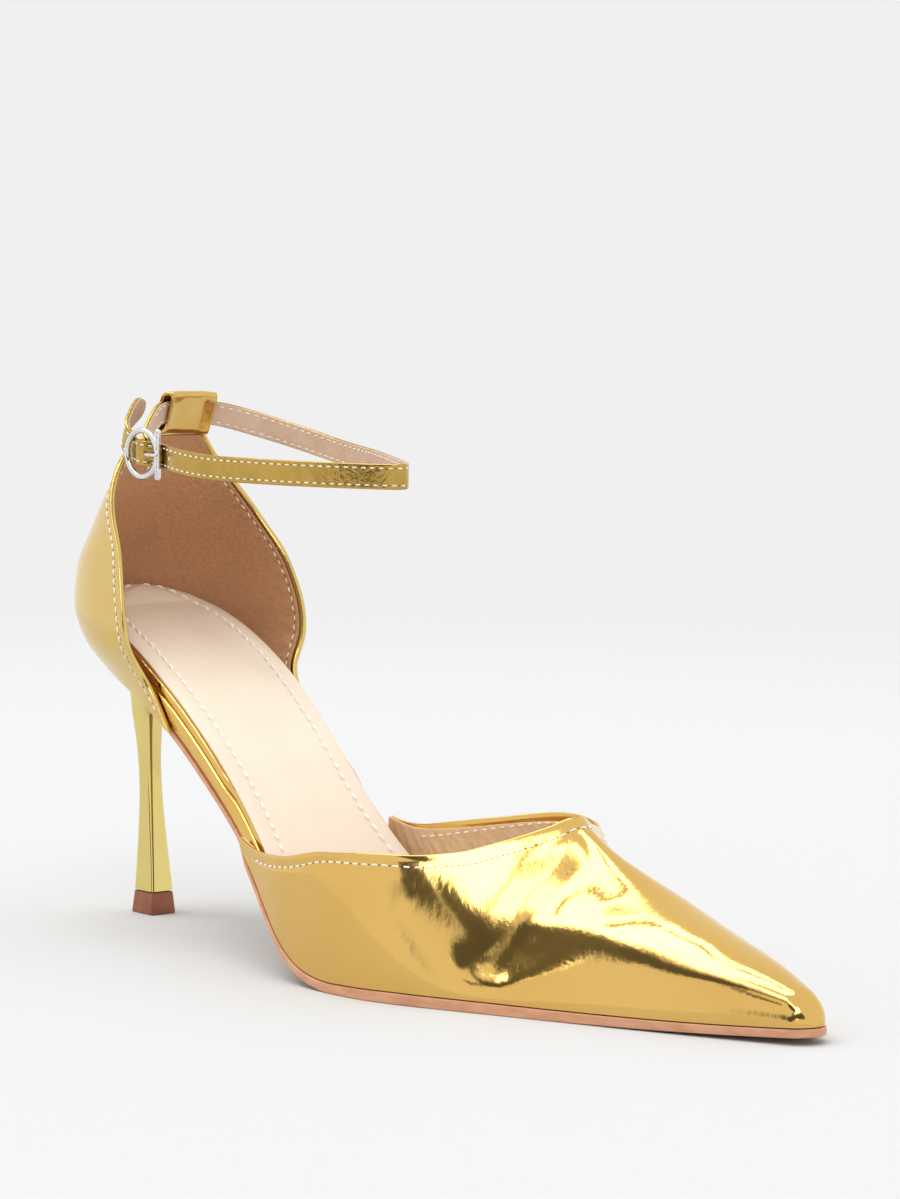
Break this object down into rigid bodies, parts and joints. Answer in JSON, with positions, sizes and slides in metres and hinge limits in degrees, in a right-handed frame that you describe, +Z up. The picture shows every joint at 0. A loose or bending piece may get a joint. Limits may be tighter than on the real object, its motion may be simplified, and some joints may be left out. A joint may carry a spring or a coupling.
{
  "type": "ankle strap pump",
  "caption": "Pointed pump for the right foot with a slim high heel, a cut-away waist, a tall heel cup and a narrow buckled ankle strap.",
  "frame": {"origin": "centre of the heel tip's ground face", "axes": "+X along the shoe towards the toe, +Y towards the wearer's inner side, +Z up"},
  "size_m": [0.2462, 0.0692, 0.1306],
  "materials": {
    "sole": "smooth",
    "board wrap": "mirror",
    "sock": "matt",
    "vamp leather": "mirror",
    "counter leather": "mirror",
    "loop leather": "mirror",
    "strap leather": "mirror",
    "buckle": "polished",
    "prong": "polished",
    "heel cover": "polished",
    "top piece": "matt"
  },
  "bodies": {
    "root": {"outsole": "sole", "insole_board": "board wrap", "insole": "sock", "upper_vamp": "vamp leather", "upper_counter": "counter leather", "strap_loop": "loop leather", "ankle_strap": "strap leather", "buckle_frame": "buckle", "buckle_prong": "prong", "heel": "heel cover", "heel_tip": "top piece"}
  },
  "joints": []
}
